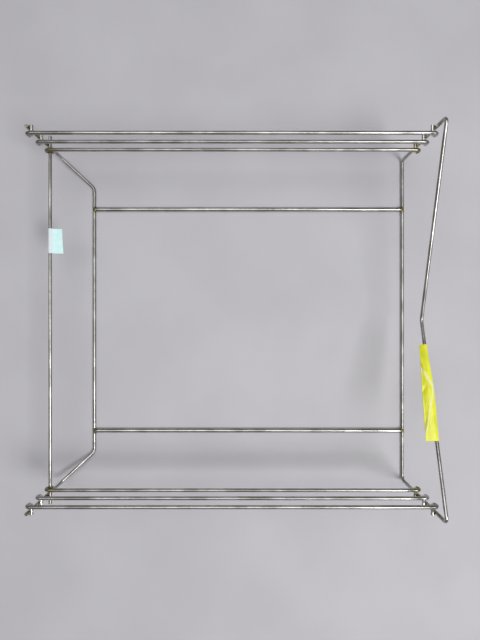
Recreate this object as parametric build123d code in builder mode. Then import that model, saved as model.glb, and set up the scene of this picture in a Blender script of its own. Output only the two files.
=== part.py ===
from build123d import *
import os
from math import atan2, cos, radians, sin

# Bent-wire drying rack, in millimetres.
# X runs from the wall end (-X) to the front end (+X), Y across the rack, Z up.
# The origin is the centre of the footprint, on the surface that the rack stands on.

# wire and rod diameters
frame_wire = 3.0
rail_wire = 3.2
pin_wire = 3.0
base_rod_wire = 4.0

# plan of the rack
half_length = 170.1
rail_y = 153.0
rail_to_post_gap = 2.8
pin_to_post_gap = 0.1
hook_clearance = 0.08

# heights of the wire centres above the floor
rail_heights = {"upper": 87.8, "middle": 68.2, "lower": 48.7}
front_frame_top = 105.5
front_dip = 52.0
wall_post_top = 87.7
wall_foot_bend = 13.0

# wall frame's floor bar, set in from its posts
wall_bar_x = -138.6
wall_bar_half = 131.0

# bend radii, at the wire's centre
floor_corner_radius = 4.0
top_corner_radius = 3.5
dip_radius = 8.0
foot_bend_radius = 5.0
wall_bar_radius = 8.0

# rail hooks and the pins that they curl round
hook_wrap = 150.0
pivot_hook_wrap = 200.0
pin_inner_y = 151.6
pin_outer_y = 160.8
pin_chamfer = 0.3

# hanging bar and base rods
hanging_bar_length = 333.0
hanging_bar_chamfer = 0.4
base_rod_y = 110.0

# welds
pin_weld_radius = 1.3
hook_weld_radius = 2.6
hook_weld_start = 0.6
hook_weld_length = 2.0
rod_weld_radius = 2.6
rod_weld_length = 1.2

# tape tag on the front frame and paper label on the hanging bar
tag_near_y = 21.7
tag_far_y = 99.6
tape_thickness = 0.35
tag_reach = 8.0
tag_edge_radius = 0.7
label_length = 22.3
label_mid_y = 71.5
label_reach = 11.5
label_thickness = 0.4
label_droop = 12.0

# positions that follow from the dimensions above
hook_radius = pin_wire / 2 + hook_clearance + rail_wire / 2
hook_outer_radius = hook_radius + rail_wire / 2
post_y = rail_y + rail_wire / 2 + rail_to_post_gap + frame_wire / 2
pin_to_post = pin_wire / 2 + pin_to_post_gap + frame_wire / 2
wall_pin_x = -half_length + hook_outer_radius
wall_post_x = wall_pin_x - pin_to_post
front_post_x = half_length - tape_thickness - frame_wire / 2
front_pin_x = front_post_x - pin_to_post
floor_z = frame_wire / 2
pin_heights = {level: height - hook_radius for level, height in rail_heights.items()}
hanging_bar_z = pin_heights["lower"]
sides = {"left": -1, "right": 1}
ends = {"wall": (wall_pin_x, wall_post_x), "front": (front_pin_x, front_post_x)}


def write(node, piece):
    """Label one finished piece and write it as its own STEP file."""
    piece.label = node
    export_step(piece, f"parts/{node}.step")


def bent_wire(points, corner_radii, diameter):
    """A round wire along straight runs joined by arcs."""
    with BuildPart() as wire:
        with BuildLine() as centre:
            FilletPolyline(*points, radius=corner_radii)
        with BuildSketch(Plane(origin=centre.line @ 0, z_dir=centre.line % 0)):
            Circle(diameter / 2)
        sweep(path=centre.line)
    return wire


def cross_pin(x, z, y_start, y_end, diameter, end_chamfer):
    """A straight round bar that runs along Y."""
    with BuildPart() as bar:
        with BuildSketch(Plane.XZ.offset(-y_start)):
            with Locations((x, z)):
                Circle(diameter / 2)
        extrude(amount=-(y_end - y_start))
        chamfer(bar.edges().filter_by(GeomType.CIRCLE), length=end_chamfer)
    return bar


def hooked_rail(y, pin_z, wall_wrap):
    """A side rail: a straight wire that curls down round a pin at each end."""
    rail_z = pin_z + hook_radius
    with BuildPart() as rail:
        with BuildLine(Plane.XZ.offset(-y)) as centre:
            wall_hook = CenterArc((wall_pin_x, pin_z), hook_radius, 90, wall_wrap)
            Line((wall_pin_x, rail_z), (front_pin_x, rail_z))
            CenterArc((front_pin_x, pin_z), hook_radius, 90, -hook_wrap)
        with BuildSketch(Plane(origin=wall_hook @ 1, z_dir=wall_hook % 1)):
            Circle(rail_wire / 2)
        sweep(path=centre.wires()[0])
    return rail


def welds_along(plane, centres, radius, length, joined):
    """Short round welds that fill the crevice between the pieces that they join."""
    with BuildPart() as welds:
        with BuildSketch(plane):
            with Locations(*centres):
                Circle(radius)
        extrude(amount=length)
        for piece in joined:
            add(piece, mode=Mode.SUBTRACT)
    return welds


os.makedirs("parts", exist_ok=True)

# front frame: one closed loop of wire, made as one half and mirrored
arm_rise = front_frame_top - front_dip
arm_slope = arm_rise / post_y
past_dip = 20.0
with BuildPart() as front_frame:
    with BuildLine() as front_centre:
        FilletPolyline(
            (front_post_x, 0, floor_z),
            (front_post_x, post_y, floor_z),
            (front_post_x, post_y, front_frame_top),
            (front_post_x, 0, front_dip),
            (front_post_x, -past_dip, front_dip + past_dip * arm_slope),
            radius=[floor_corner_radius, top_corner_radius, dip_radius],
        )
    with BuildSketch(Plane(origin=front_centre.line @ 0, z_dir=front_centre.line % 0)):
        Circle(frame_wire / 2)
    sweep(path=front_centre.line)
    split(bisect_by=Plane.XZ, keep=Keep.BOTTOM)
    mirror(about=Plane.XZ)
write("front_frame", front_frame.part)

# wall frame: one open length of wire from one free post end to the other
wall_frame_points = [
    (wall_post_x, post_y, wall_post_top),
    (wall_post_x, post_y, wall_foot_bend),
    (wall_bar_x, wall_bar_half, floor_z),
    (wall_bar_x, -wall_bar_half, floor_z),
    (wall_post_x, -post_y, wall_foot_bend),
    (wall_post_x, -post_y, wall_post_top),
]
wall_frame_radii = [foot_bend_radius, wall_bar_radius, wall_bar_radius, foot_bend_radius]
wall_frame = bent_wire(wall_frame_points, wall_frame_radii, frame_wire)
write("wall_frame", wall_frame.part)
frames = {"wall": wall_frame.part, "front": front_frame.part}

# side rails, three a side
rails = {}
for side, sign in sides.items():
    for level, pin_z in pin_heights.items():
        wall_wrap = pivot_hook_wrap if level == "lower" else hook_wrap
        rails[side, level] = hooked_rail(sign * rail_y, pin_z, wall_wrap).part
        write(f"{side}_{level}_rail", rails[side, level])

# hanging bar: the pivot of the rack, through the lowest hooks at the wall end
hanging_bar = cross_pin(
    wall_pin_x, hanging_bar_z, -hanging_bar_length / 2, hanging_bar_length / 2, pin_wire, hanging_bar_chamfer
)
write("hanging_bar", hanging_bar.part)

# pins of the other hooks, each beside its post, with the welds that hold them there
lowest_front_pins = {}
for end, (pin_x, post_x) in ends.items():
    for side, sign in sides.items():
        y_start, y_end = sorted((sign * pin_inner_y, sign * pin_outer_y))
        corner_pins = []
        weld_centres = []
        for level, pin_z in pin_heights.items():
            if end == "wall" and level == "lower":
                continue
            pin = cross_pin(pin_x, pin_z, y_start, y_end, pin_wire, pin_chamfer).part
            write(f"{end}_{side}_{level}_pin", pin)
            corner_pins.append(pin)
            if end == "front" and level == "lower":
                lowest_front_pins[side] = pin
            weld_centres.append((sign * post_y, pin_z))
        weld_plane = Plane.YZ.offset(min(pin_x, post_x))
        joined = [frames[end], *corner_pins]
        welds = welds_along(weld_plane, weld_centres, pin_weld_radius, pin_to_post, joined)
        write(f"{end}_{side}_pin_welds", welds.part)

# collars of weld that hold the lowest rails' front hooks on their pins
hook_weld_end = rail_y + hook_weld_start + hook_weld_length
for side, sign in sides.items():
    weld_plane = Plane.XZ.offset(-max(sign * (rail_y + hook_weld_start), sign * hook_weld_end))
    joined = [rails[side, "lower"], lowest_front_pins[side]]
    weld_centre = (front_pin_x, pin_heights["lower"])
    weld = welds_along(weld_plane, [weld_centre], hook_weld_radius, hook_weld_length, joined)
    write(f"{side}_hook_weld", weld.part)

# base rods between the two floor bars, and the welds over their ends
rod_start = wall_bar_x + frame_wire / 2
rod_end = front_post_x - frame_wire / 2
rod_z = base_rod_wire / 2
for side, sign in sides.items():
    with BuildPart() as base_rod:
        with BuildSketch(Plane.YZ.offset(rod_start)):
            with Locations((sign * base_rod_y, rod_z)):
                Circle(base_rod_wire / 2)
        extrude(amount=rod_end - rod_start)
    write(f"{side}_base_rod", base_rod.part)
    with BuildPart() as rod_welds:
        for weld_start in (wall_bar_x, rod_end - rod_weld_length):
            with BuildSketch(Plane.YZ.offset(weld_start)):
                with Locations((sign * base_rod_y, rod_z)):
                    Circle(rod_weld_radius)
            extrude(amount=frame_wire / 2 + rod_weld_length)
        for piece in (front_frame.part, wall_frame.part, base_rod.part):
            add(piece, mode=Mode.SUBTRACT)
        split(bisect_by=Plane.XY.offset(floor_z), keep=Keep.TOP)
    write(f"{side}_rod_welds", rod_welds.part)

# tape tag: tape wrapped round one arm of the front frame's dip, with its flap turned into the rack
arm_angle = atan2(arm_rise, post_y)
tag_length = (tag_far_y - tag_near_y) / cos(arm_angle)
tag_start = (front_post_x, -tag_near_y, front_dip + tag_near_y * arm_slope)
tag_direction = (0, -cos(arm_angle), sin(arm_angle))
with BuildPart() as yellow_tag:
    with BuildSketch(Plane(origin=tag_start, x_dir=(1, 0, 0), z_dir=tag_direction)):
        Circle(frame_wire / 2 + tape_thickness)
        with Locations((-tag_reach + tag_edge_radius, 0)):
            Circle(tag_edge_radius)
        make_hull()
        Circle(frame_wire / 2, mode=Mode.SUBTRACT)
    extrude(amount=tag_length)
write("yellow_tag", yellow_tag.part)

# paper label: a sleeve round the hanging bar with a flap that droops into the rack
flap_mid_x = label_reach / 2 * cos(radians(label_droop))
flap_mid_z = -label_reach / 2 * sin(radians(label_droop))
with BuildPart() as blue_label:
    with BuildSketch(Plane.XZ.offset(-(label_mid_y + label_length / 2))):
        with Locations((wall_pin_x, hanging_bar_z)):
            Circle(pin_wire / 2 + label_thickness)
        with Locations((wall_pin_x + flap_mid_x, hanging_bar_z + flap_mid_z)):
            Rectangle(label_reach, label_thickness, rotation=-label_droop)
        with Locations((wall_pin_x, hanging_bar_z)):
            Circle(pin_wire / 2, mode=Mode.SUBTRACT)
    extrude(amount=label_length)
write("blue_label", blue_label.part)
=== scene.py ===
import math
import bmesh
import bpy
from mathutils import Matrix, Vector, noise


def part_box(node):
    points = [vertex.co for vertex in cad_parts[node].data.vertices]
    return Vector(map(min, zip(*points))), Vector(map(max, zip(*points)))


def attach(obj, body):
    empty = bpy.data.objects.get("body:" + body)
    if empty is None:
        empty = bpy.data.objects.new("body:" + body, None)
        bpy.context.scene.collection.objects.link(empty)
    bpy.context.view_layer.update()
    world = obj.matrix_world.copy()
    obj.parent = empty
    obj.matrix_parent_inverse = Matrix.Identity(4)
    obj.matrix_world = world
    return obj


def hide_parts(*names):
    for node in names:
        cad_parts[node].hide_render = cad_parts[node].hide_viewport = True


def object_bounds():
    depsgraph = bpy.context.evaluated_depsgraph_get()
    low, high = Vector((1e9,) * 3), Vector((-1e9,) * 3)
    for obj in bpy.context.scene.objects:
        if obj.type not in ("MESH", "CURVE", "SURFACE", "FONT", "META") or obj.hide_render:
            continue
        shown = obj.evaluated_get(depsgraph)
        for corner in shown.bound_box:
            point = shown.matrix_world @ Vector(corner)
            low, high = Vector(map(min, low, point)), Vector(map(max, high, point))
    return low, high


# Fold-down wire drying rack, in metres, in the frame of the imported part:
# X from the wall end to the front end, Y across the rack, Z up from the surface it stands on.

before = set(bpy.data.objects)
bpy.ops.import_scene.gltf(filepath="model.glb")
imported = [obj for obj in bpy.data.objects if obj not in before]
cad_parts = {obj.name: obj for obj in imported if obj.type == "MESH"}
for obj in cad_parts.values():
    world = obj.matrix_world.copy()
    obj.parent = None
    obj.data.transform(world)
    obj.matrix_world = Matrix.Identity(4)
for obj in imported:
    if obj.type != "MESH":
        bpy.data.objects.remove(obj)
cad_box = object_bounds()
MM = 0.001

# the heat tint spreads from a weld, and wanders by up to this much
TINT_WANDER = 4 * MM
TINT_MARGIN = TINT_WANDER / 2


def middle(node):
    """The middle of a CAD node's box."""
    low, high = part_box(node)
    return (low + high) / 2


# places that the finishes and the soft pieces are set out from
wire_radius = (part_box("hanging_bar")[1].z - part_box("hanging_bar")[0].z) / 2
wall_pin_x = middle("hanging_bar").x
front_pin_x = middle("front_left_upper_pin").x
weld_y = middle("front_right_pin_welds").y
hook_y = middle("right_lower_rail").y
rod_y = middle("right_base_rod").y
rod_z = middle("right_base_rod").z
rod_ends = [corner.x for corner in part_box("right_base_rod")]
lower_z = middle("hanging_bar").z
upper_pins = [middle(f"front_left_{level}_pin").z for level in ("middle", "upper")]


# ---------------------------------------------------------------- finishes


class Finish:
    """A procedural material on a Principled shader, built node by node."""

    def __init__(self, name, roughness, metallic=0.0):
        self.material = bpy.data.materials.new(name)
        self.material.use_nodes = True
        self.tree = self.material.node_tree
        self.shader = self.tree.nodes["Principled BSDF"]
        self.shader.inputs["Metallic"].default_value = metallic
        self.shader.inputs["Roughness"].default_value = roughness
        self.place = self.node("ShaderNodeTexCoord").outputs["Object"]

    def node(self, kind, **settings):
        made = self.tree.nodes.new(kind)
        for key, value in settings.items():
            setattr(made, key, value)
        return made

    def feed(self, socket, value):
        if isinstance(value, bpy.types.NodeSocket):
            self.tree.links.new(value, socket)
        else:
            socket.default_value = value

    def set(self, socket, value):
        self.feed(self.shader.inputs[socket], value)

    def noise(self, scale, detail=2.0, stretch=(1, 1, 1)):
        """Noise in 0..1; scale is in features a metre, divided along each axis by stretch."""
        mapping = self.node("ShaderNodeMapping", vector_type="POINT")
        mapping.inputs["Scale"].default_value = [scale / s for s in stretch]
        self.feed(mapping.inputs["Vector"], self.place)
        texture = self.node("ShaderNodeTexNoise")
        texture.inputs["Scale"].default_value = 1.0
        texture.inputs["Detail"].default_value = detail
        self.feed(texture.inputs["Vector"], mapping.outputs["Vector"])
        return texture.outputs["Fac"]

    def levels(self, value, low, high, start=0.0, end=1.0):
        """value eased from low..high to start..end, and held there beyond."""
        made = self.node("ShaderNodeMapRange", interpolation_type="SMOOTHSTEP")
        self.feed(made.inputs["Value"], value)
        for key, number in (("From Min", low), ("From Max", high), ("To Min", start), ("To Max", end)):
            made.inputs[key].default_value = number
        return made.outputs["Result"]

    def maths(self, operation, first, second=0.0):
        made = self.node("ShaderNodeMath", operation=operation)
        self.feed(made.inputs[0], first)
        self.feed(made.inputs[1], second)
        return made.outputs["Value"]

    def mix(self, share, first, second):
        made = self.node("ShaderNodeMix", data_type="RGBA")
        self.feed(made.inputs["Factor"], share)
        self.feed(made.inputs["A"], first)
        self.feed(made.inputs["B"], second)
        return made.outputs["Result"]

    def bump(self, height, depth):
        made = self.node("ShaderNodeBump")
        made.inputs["Distance"].default_value = depth
        self.feed(made.inputs["Height"], height)
        self.set("Normal", made.outputs["Normal"])

    def distance_to(self, spots):
        """Distance to the nearest of the spots, which are given on the +Y side and mirrored."""
        apart = self.node("ShaderNodeSeparateXYZ")
        self.feed(apart.inputs["Vector"], self.place)
        folded = self.node("ShaderNodeCombineXYZ")
        self.feed(folded.inputs["X"], apart.outputs["X"])
        self.feed(folded.inputs["Y"], self.maths("ABSOLUTE", apart.outputs["Y"]))
        self.feed(folded.inputs["Z"], apart.outputs["Z"])
        nearest = 1.0
        for spot in spots:
            span = self.node("ShaderNodeVectorMath", operation="DISTANCE")
            self.feed(span.inputs[0], folded.outputs["Vector"])
            span.inputs[1].default_value = spot
            nearest = self.maths("MINIMUM", nearest, span.outputs["Value"])
        return nearest


def rgba(red, green, blue):
    return (red, green, blue, 1.0)


BRIGHT = rgba(0.80, 0.79, 0.76)
CLEAN = rgba(0.54, 0.54, 0.52)
DULL = rgba(0.31, 0.30, 0.28)
GRIME = rgba(0.17, 0.15, 0.11)
SPECK = rgba(0.12, 0.11, 0.09)
STRAW_TINT = rgba(0.30, 0.26, 0.12)
BROWN_TINT = rgba(0.085, 0.066, 0.04)


def steel(name, clean, dull, roughness, drawn_along, spots, tint_reach=9 * MM):
    """Satin stainless wire: drawing lines, cloudy tone, handling specks, and heat tint round the welds."""
    finish = Finish(name, roughness, metallic=1.0)
    lines = finish.noise(2600, 3.0, drawn_along)
    cloud = finish.noise(55, 3.0)
    specks = finish.levels(finish.noise(900, 4.0), 0.60, 0.72)
    grime = finish.levels(finish.noise(140, 5.0), 0.52, 0.80)
    colour = finish.mix(finish.levels(cloud, 0.35, 0.65), dull, clean)
    colour = finish.mix(finish.levels(lines, 0.35, 0.70, 0.0, 0.30), colour, dull)
    colour = finish.mix(finish.maths("MULTIPLY", grime, 0.45), colour, GRIME)
    colour = finish.mix(finish.maths("MULTIPLY", specks, 0.35), colour, SPECK)
    wander = finish.maths("MULTIPLY", finish.noise(420, 3.0), TINT_WANDER)
    near = finish.maths("ADD", finish.distance_to(spots), wander)
    straw = finish.levels(near, 0.45 * tint_reach + TINT_MARGIN, tint_reach + TINT_MARGIN, 1.0, 0.0)
    brown = finish.levels(near, 1.5 * MM + TINT_MARGIN, 0.55 * tint_reach + TINT_MARGIN, 1.0, 0.0)
    colour = finish.mix(finish.maths("MULTIPLY", straw, 0.8), colour, STRAW_TINT)
    colour = finish.mix(finish.maths("MULTIPLY", brown, 0.85), colour, BROWN_TINT)
    finish.set("Base Color", colour)
    rough = finish.levels(lines, 0.30, 0.75, roughness - 0.06, roughness + 0.12)
    rough = finish.maths("ADD", rough, finish.maths("MULTIPLY", specks, 0.15))
    rough = finish.maths("ADD", rough, finish.maths("MULTIPLY", brown, 0.18))
    finish.set("Roughness", rough)
    relief = finish.maths("SUBTRACT", finish.maths("MULTIPLY", lines, 0.6), specks)
    finish.bump(relief, 0.018 * MM)
    return finish.material


def weld_metal():
    """Rippled, heat-blackened bead with bare metal on its crests."""
    finish = Finish("heat_tinted_weld", 0.42, metallic=1.0)
    ripple = finish.noise(1500, 4.0)
    patch = finish.noise(420, 3.0)
    colour = finish.mix(finish.levels(patch, 0.35, 0.65), rgba(0.10, 0.08, 0.05), rgba(0.30, 0.26, 0.14))
    colour = finish.mix(finish.levels(ripple, 0.55, 0.75), colour, rgba(0.46, 0.44, 0.40))
    finish.set("Base Color", colour)
    finish.set("Roughness", finish.levels(ripple, 0.3, 0.7, 0.32, 0.58))
    finish.bump(ripple, 0.12 * MM)
    return finish.material


# where the tape's two folds leave the wire and reach the flap's edge, as shares of its length; the painted
# fold highlights run along the same lines
CREASES = ((0.40, 0.16), (0.58, 0.95))
TAPE_NEAR_REACH = 4.3 * MM
TAPE_FAR_REACH = 8.9 * MM
TAPE_LEAF = 0.16 * MM
PAPER_LEAF = 0.11 * MM


def tape_film(start, end, far_reach):
    """Glossy lemon-yellow film with a painted pale highlight along each of its two diagonal folds, with
    streaks and air pockets.
    """
    finish = Finish("yellow_tape_film", 0.22)
    streaks = finish.noise(1400, 3.0, (1, 14, 14))
    cloud = finish.noise(120, 3.0)
    pockets = finish.levels(finish.noise(700, 4.0), 0.60, 0.70)
    colour = finish.mix(finish.levels(cloud, 0.35, 0.65), rgba(0.76, 0.79, 0.020), rgba(0.90, 0.91, 0.035))
    colour = finish.mix(finish.maths("MULTIPLY", pockets, 0.35), colour, rgba(0.88, 0.90, 0.24))
    span = end - start
    from_start = finish.node("ShaderNodeVectorMath", operation="SUBTRACT")
    finish.feed(from_start.inputs[0], finish.place)
    from_start.inputs[1].default_value = start
    along = finish.node("ShaderNodeVectorMath", operation="DOT_PRODUCT")
    finish.feed(along.inputs[0], from_start.outputs["Vector"])
    along.inputs[1].default_value = span / span.length_squared
    apart = finish.node("ShaderNodeSeparateXYZ")
    finish.feed(apart.inputs["Vector"], from_start.outputs["Vector"])
    outward = finish.maths("DIVIDE", apart.outputs["X"], -far_reach)
    waver = finish.maths("MULTIPLY", finish.maths("SUBTRACT", cloud, 0.5), 0.06)
    # paint a pale highlight along each fold, where the creased film catches the light
    for at_wire, at_edge in CREASES:
        line = finish.maths("ADD", finish.maths("MULTIPLY", outward, at_edge - at_wire), at_wire)
        off_line = finish.maths("SUBTRACT", finish.maths("ADD", along.outputs["Value"], waver), line)
        pale = finish.levels(finish.maths("ABSOLUTE", off_line), 0.012, 0.05, 0.75, 0.0)
        colour = finish.mix(pale, colour, rgba(0.92, 0.93, 0.50))
    finish.set("Base Color", colour)
    finish.set("Roughness", finish.levels(streaks, 0.3, 0.7, 0.14, 0.34))
    finish.shader.inputs["Coat Weight"].default_value = 0.5
    finish.shader.inputs["Coat Roughness"].default_value = 0.12
    relief = finish.maths("ADD", finish.maths("MULTIPLY", streaks, 0.35), pockets)
    finish.bump(relief, 0.03 * MM)
    return finish.material


def label_paper(spine_x):
    """Matte pale-blue paper, whiter where it turns round the bar, with fibres and soft mottling."""
    finish = Finish("pale_blue_paper", 0.82)
    fibres = finish.noise(2600, 4.0, (6, 1, 1))
    mottle = finish.noise(260, 4.0)
    apart = finish.node("ShaderNodeSeparateXYZ")
    finish.feed(apart.inputs["Vector"], finish.place)
    turned = finish.levels(apart.outputs["X"], spine_x + 1.6 * MM, spine_x + 3.4 * MM, 1.0, 0.0)
    colour = finish.mix(finish.levels(mottle, 0.35, 0.65), rgba(0.62, 0.93, 0.92), rgba(0.72, 0.97, 0.96))
    colour = finish.mix(finish.levels(fibres, 0.50, 0.78, 0.0, 0.35), colour, rgba(0.84, 0.97, 0.96))
    colour = finish.mix(finish.maths("MULTIPLY", turned, 0.8), colour, rgba(0.78, 0.83, 0.90))
    finish.set("Base Color", colour)
    finish.bump(finish.maths("ADD", fibres, mottle), 0.03 * MM)
    return finish.material


# how far the drawing lines are stretched along each axis
ALONG_X = (60, 1, 1)
ALONG_Y = (1, 60, 1)
EVERY_WAY = (1.6, 1.6, 1.6)
hook_spots = [(x, weld_y, z) for x in (wall_pin_x, front_pin_x) for z in (lower_z, *upper_pins)]
rod_spots = [(x, rod_y, rod_z) for x in rod_ends]
lowest_spots = [(x, hook_y, lower_z) for x in (wall_pin_x, front_pin_x)]
weld_spots = [(x, weld_y, lower_z) for x in (wall_pin_x, front_pin_x)]
finishes = {
    "frame": steel("frame_wire", CLEAN, DULL, 0.30, EVERY_WAY, hook_spots + rod_spots, 5 * MM),
    "rail": steel("rail_wire", CLEAN, DULL, 0.30, ALONG_X, lowest_spots),
    "rod": steel("base_rod_wire", CLEAN, DULL, 0.24, ALONG_X, rod_spots, 4 * MM),
    "pin": steel("pin_wire", BRIGHT, CLEAN, 0.24, ALONG_Y, weld_spots, 3 * MM),
    "welds": weld_metal(),
    "bar": steel("hanging_bar_wire", CLEAN, DULL, 0.30, ALONG_Y, lowest_spots, 5 * MM),
}
finishes["weld"] = finishes["welds"]
for name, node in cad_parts.items():
    ending = name.split("_")[-1]
    if ending in finishes:
        node.data.materials.clear()
        node.data.materials.append(finishes[ending])
        for face in node.data.polygons:
            face.use_smooth = True


# ---------------------------------------------------------------- weld beads


def islands(node):
    """The boxes of the separate solids in a CAD node."""
    mesh = bmesh.new()
    mesh.from_mesh(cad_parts[node].data)
    bmesh.ops.remove_doubles(mesh, verts=mesh.verts, dist=1e-7)
    waiting = set(mesh.verts)
    found = []
    while waiting:
        group = [waiting.pop()]
        for vertex in group:
            for edge in vertex.link_edges:
                other = edge.other_vert(vertex)
                if other in waiting:
                    waiting.remove(other)
                    group.append(other)
        low = Vector([min(v.co[axis] for v in group) for axis in range(3)])
        high = Vector([max(v.co[axis] for v in group) for axis in range(3)])
        found.append((low, high))
    mesh.free()
    return sorted(found, key=lambda box: tuple(box[0]))


def weld_beads(node, swell):
    """One rippled bead for each weld of a CAD weld node, over the same place."""
    mesh = bmesh.new()
    for low, high in islands(node):
        centre = (low + high) / 2
        half = (high - low) / 2 * swell
        made = bmesh.ops.create_icosphere(mesh, subdivisions=4, radius=1.0)
        for vertex in made["verts"]:
            outward = vertex.co.normalized()
            place = centre + Vector([outward[axis] * half[axis] for axis in range(3)])
            ripple = noise.fractal(place * 1800, 1.0, 2.0, 3)
            scale = 1.0 + 0.10 * ripple
            vertex.co = centre + Vector([outward[axis] * half[axis] * scale for axis in range(3)])
    for face in mesh.faces:
        face.smooth = True
    data = bpy.data.meshes.new(f"{node}_beads")
    mesh.to_mesh(data)
    mesh.free()
    data.materials.append(finishes["welds"])
    beads = bpy.data.objects.new(f"{node}_beads", data)
    bpy.context.scene.collection.objects.link(beads)
    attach(beads, "rack")
    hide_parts(node)


for name in sorted(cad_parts):
    if name.endswith(("welds", "weld")):
        weld_beads(name, 1.06)


# ---------------------------------------------------------------- tape and label


def wrapped_flap(name, start, end, out, reach, bulge, lift, sheet, closed_by, taper, rows, columns):
    """A sheet folded round a wire from start to end, its two leaves meeting in a flap towards out.

    reach(t) and bulge(t) are how far the flap and the far side of the fold stand from the wire's
    centre, and lift(t, s) raises the flap, with t from 0 to 1 along the wire and s from 0 to 1
    from the wire to the flap's edge. sheet is the thickness of one leaf. The leaves close on each
    other by s = closed_by, in a straight slope where taper is 1 and a hollow one where it is more.
    """
    along = (end - start).normalized()
    up = out.cross(along).normalized()
    if up.z < 0:
        up.negate()
    wrap = wire_radius + sheet
    near_edge = wrap * 0.35
    turns = 18

    def leaf(sideways, s):
        """How far a leaf stands from the flap's middle: over the wire first, then closing."""
        over_wire = math.sqrt(max(0.0, wrap ** 2 - sideways ** 2))
        return max(over_wire, sheet + (wrap - sheet) * max(0.0, 1 - s / closed_by) ** taper)

    mesh = bmesh.new()
    loops = []
    for row in range(rows + 1):
        t = row / rows
        centre = start.lerp(end, t)
        outline = []
        for column in range(columns + 1):
            s = column / columns
            sideways = near_edge + (reach(t) - near_edge) * s
            outline.append((sideways, lift(t, s) + leaf(sideways, s)))
        for column in range(columns, -1, -1):
            s = column / columns
            sideways = near_edge + (reach(t) - near_edge) * s
            outline.append((sideways, lift(t, s) - leaf(sideways, s)))
        for step in range(1, turns):
            angle = math.pi * 1.5 - math.pi * step / turns
            outline.append((math.cos(angle) * bulge(t), math.sin(angle) * wrap))
        loop = []
        for sideways, upward in outline:
            place = centre + out * sideways + up * upward
            crinkle = noise.fractal(place * 420, 1.0, 2.0, 3) * 0.06 * MM
            loop.append(mesh.verts.new(place + up * crinkle))
        loops.append(loop)
    count = len(loops[0])
    for first, second in zip(loops, loops[1:]):
        for index in range(count):
            following = (index + 1) % count
            mesh.faces.new((first[index], first[following], second[following], second[index]))
    bmesh.ops.recalc_face_normals(mesh, faces=mesh.faces)
    for face in mesh.faces:
        face.smooth = True
    data = bpy.data.meshes.new(name)
    mesh.to_mesh(data)
    mesh.free()
    piece = bpy.data.objects.new(name, data)
    bpy.context.scene.collection.objects.link(piece)
    return piece


def ridge(t, s, t_at_wire, t_at_edge, width):
    """1 on a crease line that runs from the wire to the flap's edge, falling to 0 beside it."""
    line = t_at_wire + (t_at_edge - t_at_wire) * s
    return math.exp(-(((t - line) / width) ** 2))


# the arm's line under the tape, from the tag's box: its ends are square to the arm
tag_low, tag_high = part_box("yellow_tag")
arm_x = (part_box("front_frame")[0].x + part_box("front_frame")[1].x) / 2
tape_radius = tag_high.x - arm_x
arm_angle = 0.0
for _ in range(20):
    rise = tag_high.z - tag_low.z - 2 * tape_radius * math.cos(arm_angle)
    run = tag_high.y - tag_low.y - 2 * tape_radius * math.sin(arm_angle)
    arm_angle = math.atan2(rise, run)
tape_start = Vector((arm_x, tag_high.y - tape_radius * math.sin(arm_angle),
                     tag_low.z + tape_radius * math.cos(arm_angle)))
tape_end = Vector((arm_x, tag_low.y + tape_radius * math.sin(arm_angle),
                   tag_high.z - tape_radius * math.cos(arm_angle)))


def tape_lift(t, s):
    """The flap droops, and rises along its two folds beyond the wire."""
    droop = -0.9 * MM * s * s
    folds = 0.75 * ridge(t, s, *CREASES[0], 0.05) + 0.9 * ridge(t, s, *CREASES[1], 0.06)
    crease = -0.6 * ridge(t, s, 0.43, 0.50, 0.03)
    return droop + (folds + crease) * MM * min(1.0, max(0.0, 2.5 * (s - 0.3)))


tape = wrapped_flap(
    "yellow_tape_flap", tape_start, tape_end, Vector((-1, 0, 0)),
    reach=lambda t: TAPE_NEAR_REACH + (TAPE_FAR_REACH - TAPE_NEAR_REACH) * t,
    bulge=lambda t: (1.95 + 1.3 * math.sin(math.pi * t) ** 2) * MM,
    lift=tape_lift, sheet=TAPE_LEAF, closed_by=0.85, taper=1.0, rows=120, columns=22)
tape.data.materials.append(tape_film(tape_start, tape_end, TAPE_FAR_REACH))
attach(tape, "rack")
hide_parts("yellow_tag")

label_low, label_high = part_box("blue_label")
bar_middle = middle("hanging_bar")
label_reach = label_high.x - bar_middle.x
label_droop = math.atan2(bar_middle.z - label_low.z, label_reach)


def label_lift(t, s):
    """The flap sags, curls at its middle and has one soft crease."""
    sag = -label_reach * s * math.tan(label_droop * 0.8)
    curl = 0.5 * MM * math.sin(math.pi * t) * s * s
    return sag + curl + 0.25 * MM * ridge(t, s, 0.35, 0.60, 0.09) * s


label = wrapped_flap(
    "pale_blue_paper_label",
    Vector((bar_middle.x, label_high.y, bar_middle.z)), Vector((bar_middle.x, label_low.y, bar_middle.z)),
    Vector((1, 0, 0)),
    reach=lambda t: label_reach - 1.3 * MM * (1 - t),
    bulge=lambda t: 1.75 * MM,
    lift=label_lift, sheet=PAPER_LEAF, closed_by=0.4, taper=2.0, rows=60, columns=26)
label.data.materials.append(label_paper(bar_middle.x))
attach(label, "hanging_bar")
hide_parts("blue_label")


# ---------------------------------------------------------------- floor, light and camera


def pale_floor():
    """Matte pale grey with a faint cloudy tone."""
    finish = Finish("pale_floor", 0.75)
    tone = finish.levels(finish.noise(9, 4.0), 0.3, 0.7)
    finish.set("Base Color", finish.mix(tone, rgba(0.50, 0.49, 0.52), rgba(0.54, 0.53, 0.56)))
    return finish.material


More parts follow.
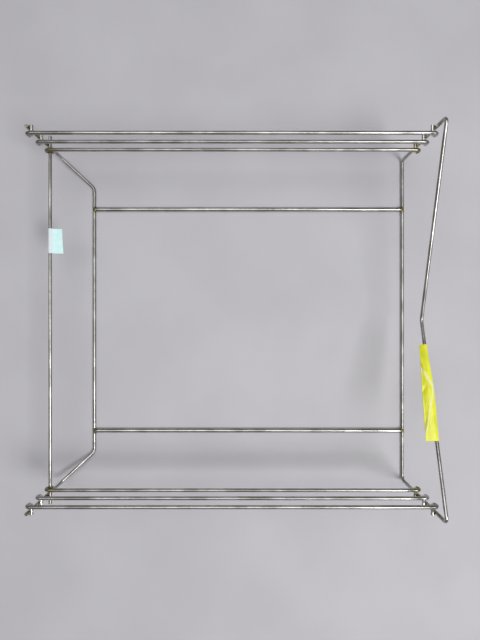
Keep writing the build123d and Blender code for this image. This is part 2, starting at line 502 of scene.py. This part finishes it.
FLOOR_SIZE = 8.0
FLOOR_GAP = 0.2 * MM
bpy.ops.mesh.primitive_plane_add(size=FLOOR_SIZE, location=(0, 0, cad_box[0].z - FLOOR_GAP))
floor = bpy.context.object
floor.name = "floor"
floor.data.materials.append(pale_floor())


def soft_light(name, place, size, power):
    """A round lamp that faces the origin."""
    light = bpy.data.lights.new(name, "AREA")
    light.shape = "DISK"
    light.size = size
    light.energy = power
    lamp = bpy.data.objects.new(name, light)
    lamp.location = place
    lamp.rotation_euler = (-Vector(place)).to_track_quat("-Z", "Y").to_euler()
    bpy.context.scene.collection.objects.link(lamp)


soft_light("key_light", (0.72, -0.48, 1.45), 0.60, 15)
soft_light("overhead_light", (-0.20, 0.30, 1.9), 1.4, 12)

world = bpy.data.worlds.new("studio")
world.use_nodes = True
tree = world.node_tree
background = tree.nodes["Background"]
background.inputs["Strength"].default_value = 0.30
direction = tree.nodes.new("ShaderNodeTexCoord")
apart = tree.nodes.new("ShaderNodeSeparateXYZ")
tree.links.new(direction.outputs["Generated"], apart.inputs["Vector"])
sky = tree.nodes.new("ShaderNodeValToRGB")
sky.color_ramp.elements[0].position = 0.05
sky.color_ramp.elements[0].color = rgba(0.36, 0.355, 0.35)
sky.color_ramp.elements[1].position = 0.95
sky.color_ramp.elements[1].color = rgba(1.0, 1.0, 1.0)
tree.links.new(apart.outputs["Z"], sky.inputs["Fac"])
tree.links.new(sky.outputs["Color"], background.inputs["Color"])
bpy.context.scene.world = world

# straight above, with a focal length in pixels of a picture of this height
IMAGE_HEIGHT = 640
FOCAL_PIXELS = 481
CAMERA_HEIGHT = 0.481
CAMERA_X = 0.0065
camera_data = bpy.data.cameras.new("camera")
camera_data.sensor_width = 36.0
camera_data.lens = FOCAL_PIXELS / IMAGE_HEIGHT * camera_data.sensor_width
camera_data.clip_start = 0.01
camera = bpy.data.objects.new("camera", camera_data)
camera.location = (CAMERA_X, 0.0, CAMERA_HEIGHT)
bpy.context.scene.collection.objects.link(camera)
bpy.context.scene.camera = camera
bpy.context.scene.view_settings.view_transform = "Standard"
